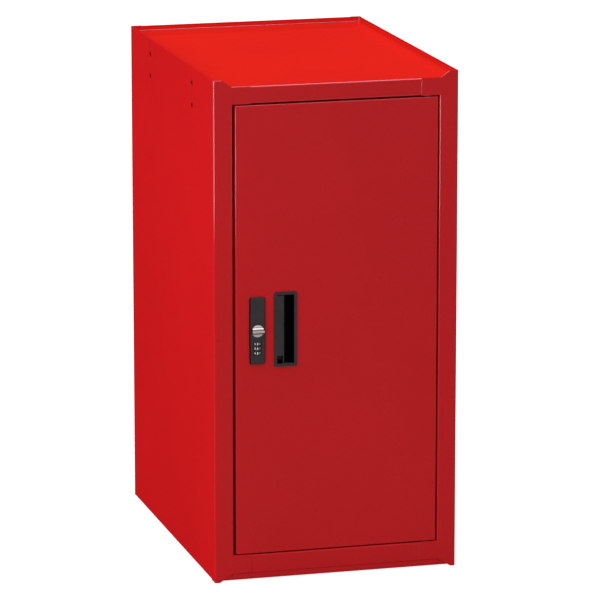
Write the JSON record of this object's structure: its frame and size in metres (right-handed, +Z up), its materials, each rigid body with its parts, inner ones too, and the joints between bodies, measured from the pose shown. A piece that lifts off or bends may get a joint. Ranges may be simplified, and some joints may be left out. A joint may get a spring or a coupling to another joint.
{
  "type": "tool chest side locker",
  "caption": "Sheet-steel side locker with a tray top, an inset door on pivot pins, a flush pull, a number-wheel cam lock and shelves on slotted pilasters.",
  "frame": {"origin": "bottom centre of the whole object's box, on the floor it stands on", "axes": "+Z up, -Y out of the door's face, +X to the right as seen from the front"},
  "size_m": [0.33, 0.474, 0.67],
  "materials": {
    "red_paint": "glossy red powder coat on sheet steel",
    "black_plastic": "fine-grained black moulding",
    "wheel_black": "satin black number wheels",
    "satin_nickel": "satin nickel-plated die casting",
    "zinc_plate": "bright zinc-plated steel",
    "nylon": "black nylon",
    "rubber": "matt black rubber"
  },
  "bodies": {
    "cabinet": {"left_side_panel": "red_paint", "right_side_panel": "red_paint", "back_panel": "red_paint", "top_pan": "red_paint", "floor_pan": "red_paint", "toe_strip": "red_paint", "pilaster_front_left": "zinc_plate", "pilaster_rear_left": "zinc_plate", "pilaster_front_right": "zinc_plate", "pilaster_rear_right": "zinc_plate", "lower_shelf_clip_front_left": "zinc_plate", "lower_shelf_clip_rear_left": "zinc_plate", "lower_shelf_clip_front_right": "zinc_plate", "lower_shelf_clip_rear_right": "zinc_plate", "lower_shelf": "red_paint", "upper_shelf_clip_front_left": "zinc_plate", "upper_shelf_clip_rear_left": "zinc_plate", "upper_shelf_clip_front_right": "zinc_plate", "upper_shelf_clip_rear_right": "zinc_plate", "upper_shelf": "red_paint", "lower_pivot_pin": "zinc_plate", "upper_pivot_pin": "zinc_plate", "lower_door_buffer": "rubber", "upper_door_buffer": "rubber"},
    "door": {"door_skin": "red_paint", "door_stiffener": "red_paint", "lower_pivot_bush": "nylon", "upper_pivot_bush": "nylon", "flush_pull": "black_plastic", "lock_bezel": "black_plastic", "lock_body": "zinc_plate", "lower_lock_screw": "zinc_plate", "upper_lock_screw": "zinc_plate", "wheel_axle": "zinc_plate"},
    "knob": {"lock_knob": "satin_nickel", "lock_spindle": "zinc_plate", "lock_cam": "zinc_plate", "cam_screw": "zinc_plate"},
    "wheel_1": {"number_wheel_1": "wheel_black"},
    "wheel_2": {"number_wheel_2": "wheel_black"},
    "wheel_3": {"number_wheel_3": "wheel_black"}
  },
  "joints": [
    {"name": "door_swing", "type": "hinge", "parent": "cabinet", "child": "door", "pos_m": [0.1245, -0.221, 0.336], "axis": [0, 0, 1], "range_deg": [0, 110]},
    {"name": "knob_turn", "type": "hinge", "parent": "door", "child": "knob", "pos_m": [-0.1073, -0.228, 0.338], "axis": [0, 1, 0], "range_deg": [0, 90]},
    {"name": "wheel_1_turn", "type": "hinge", "parent": "door", "child": "wheel_1", "pos_m": [-0.1073, -0.2253, 0.3207], "axis": [0, 0, 1], "continuous": true},
    {"name": "wheel_2_turn", "type": "hinge", "parent": "door", "child": "wheel_2", "pos_m": [-0.1073, -0.2253, 0.3144], "axis": [0, 0, 1], "continuous": true},
    {"name": "wheel_3_turn", "type": "hinge", "parent": "door", "child": "wheel_3", "pos_m": [-0.1073, -0.2253, 0.3081], "axis": [0, 0, 1], "continuous": true}
  ]
}
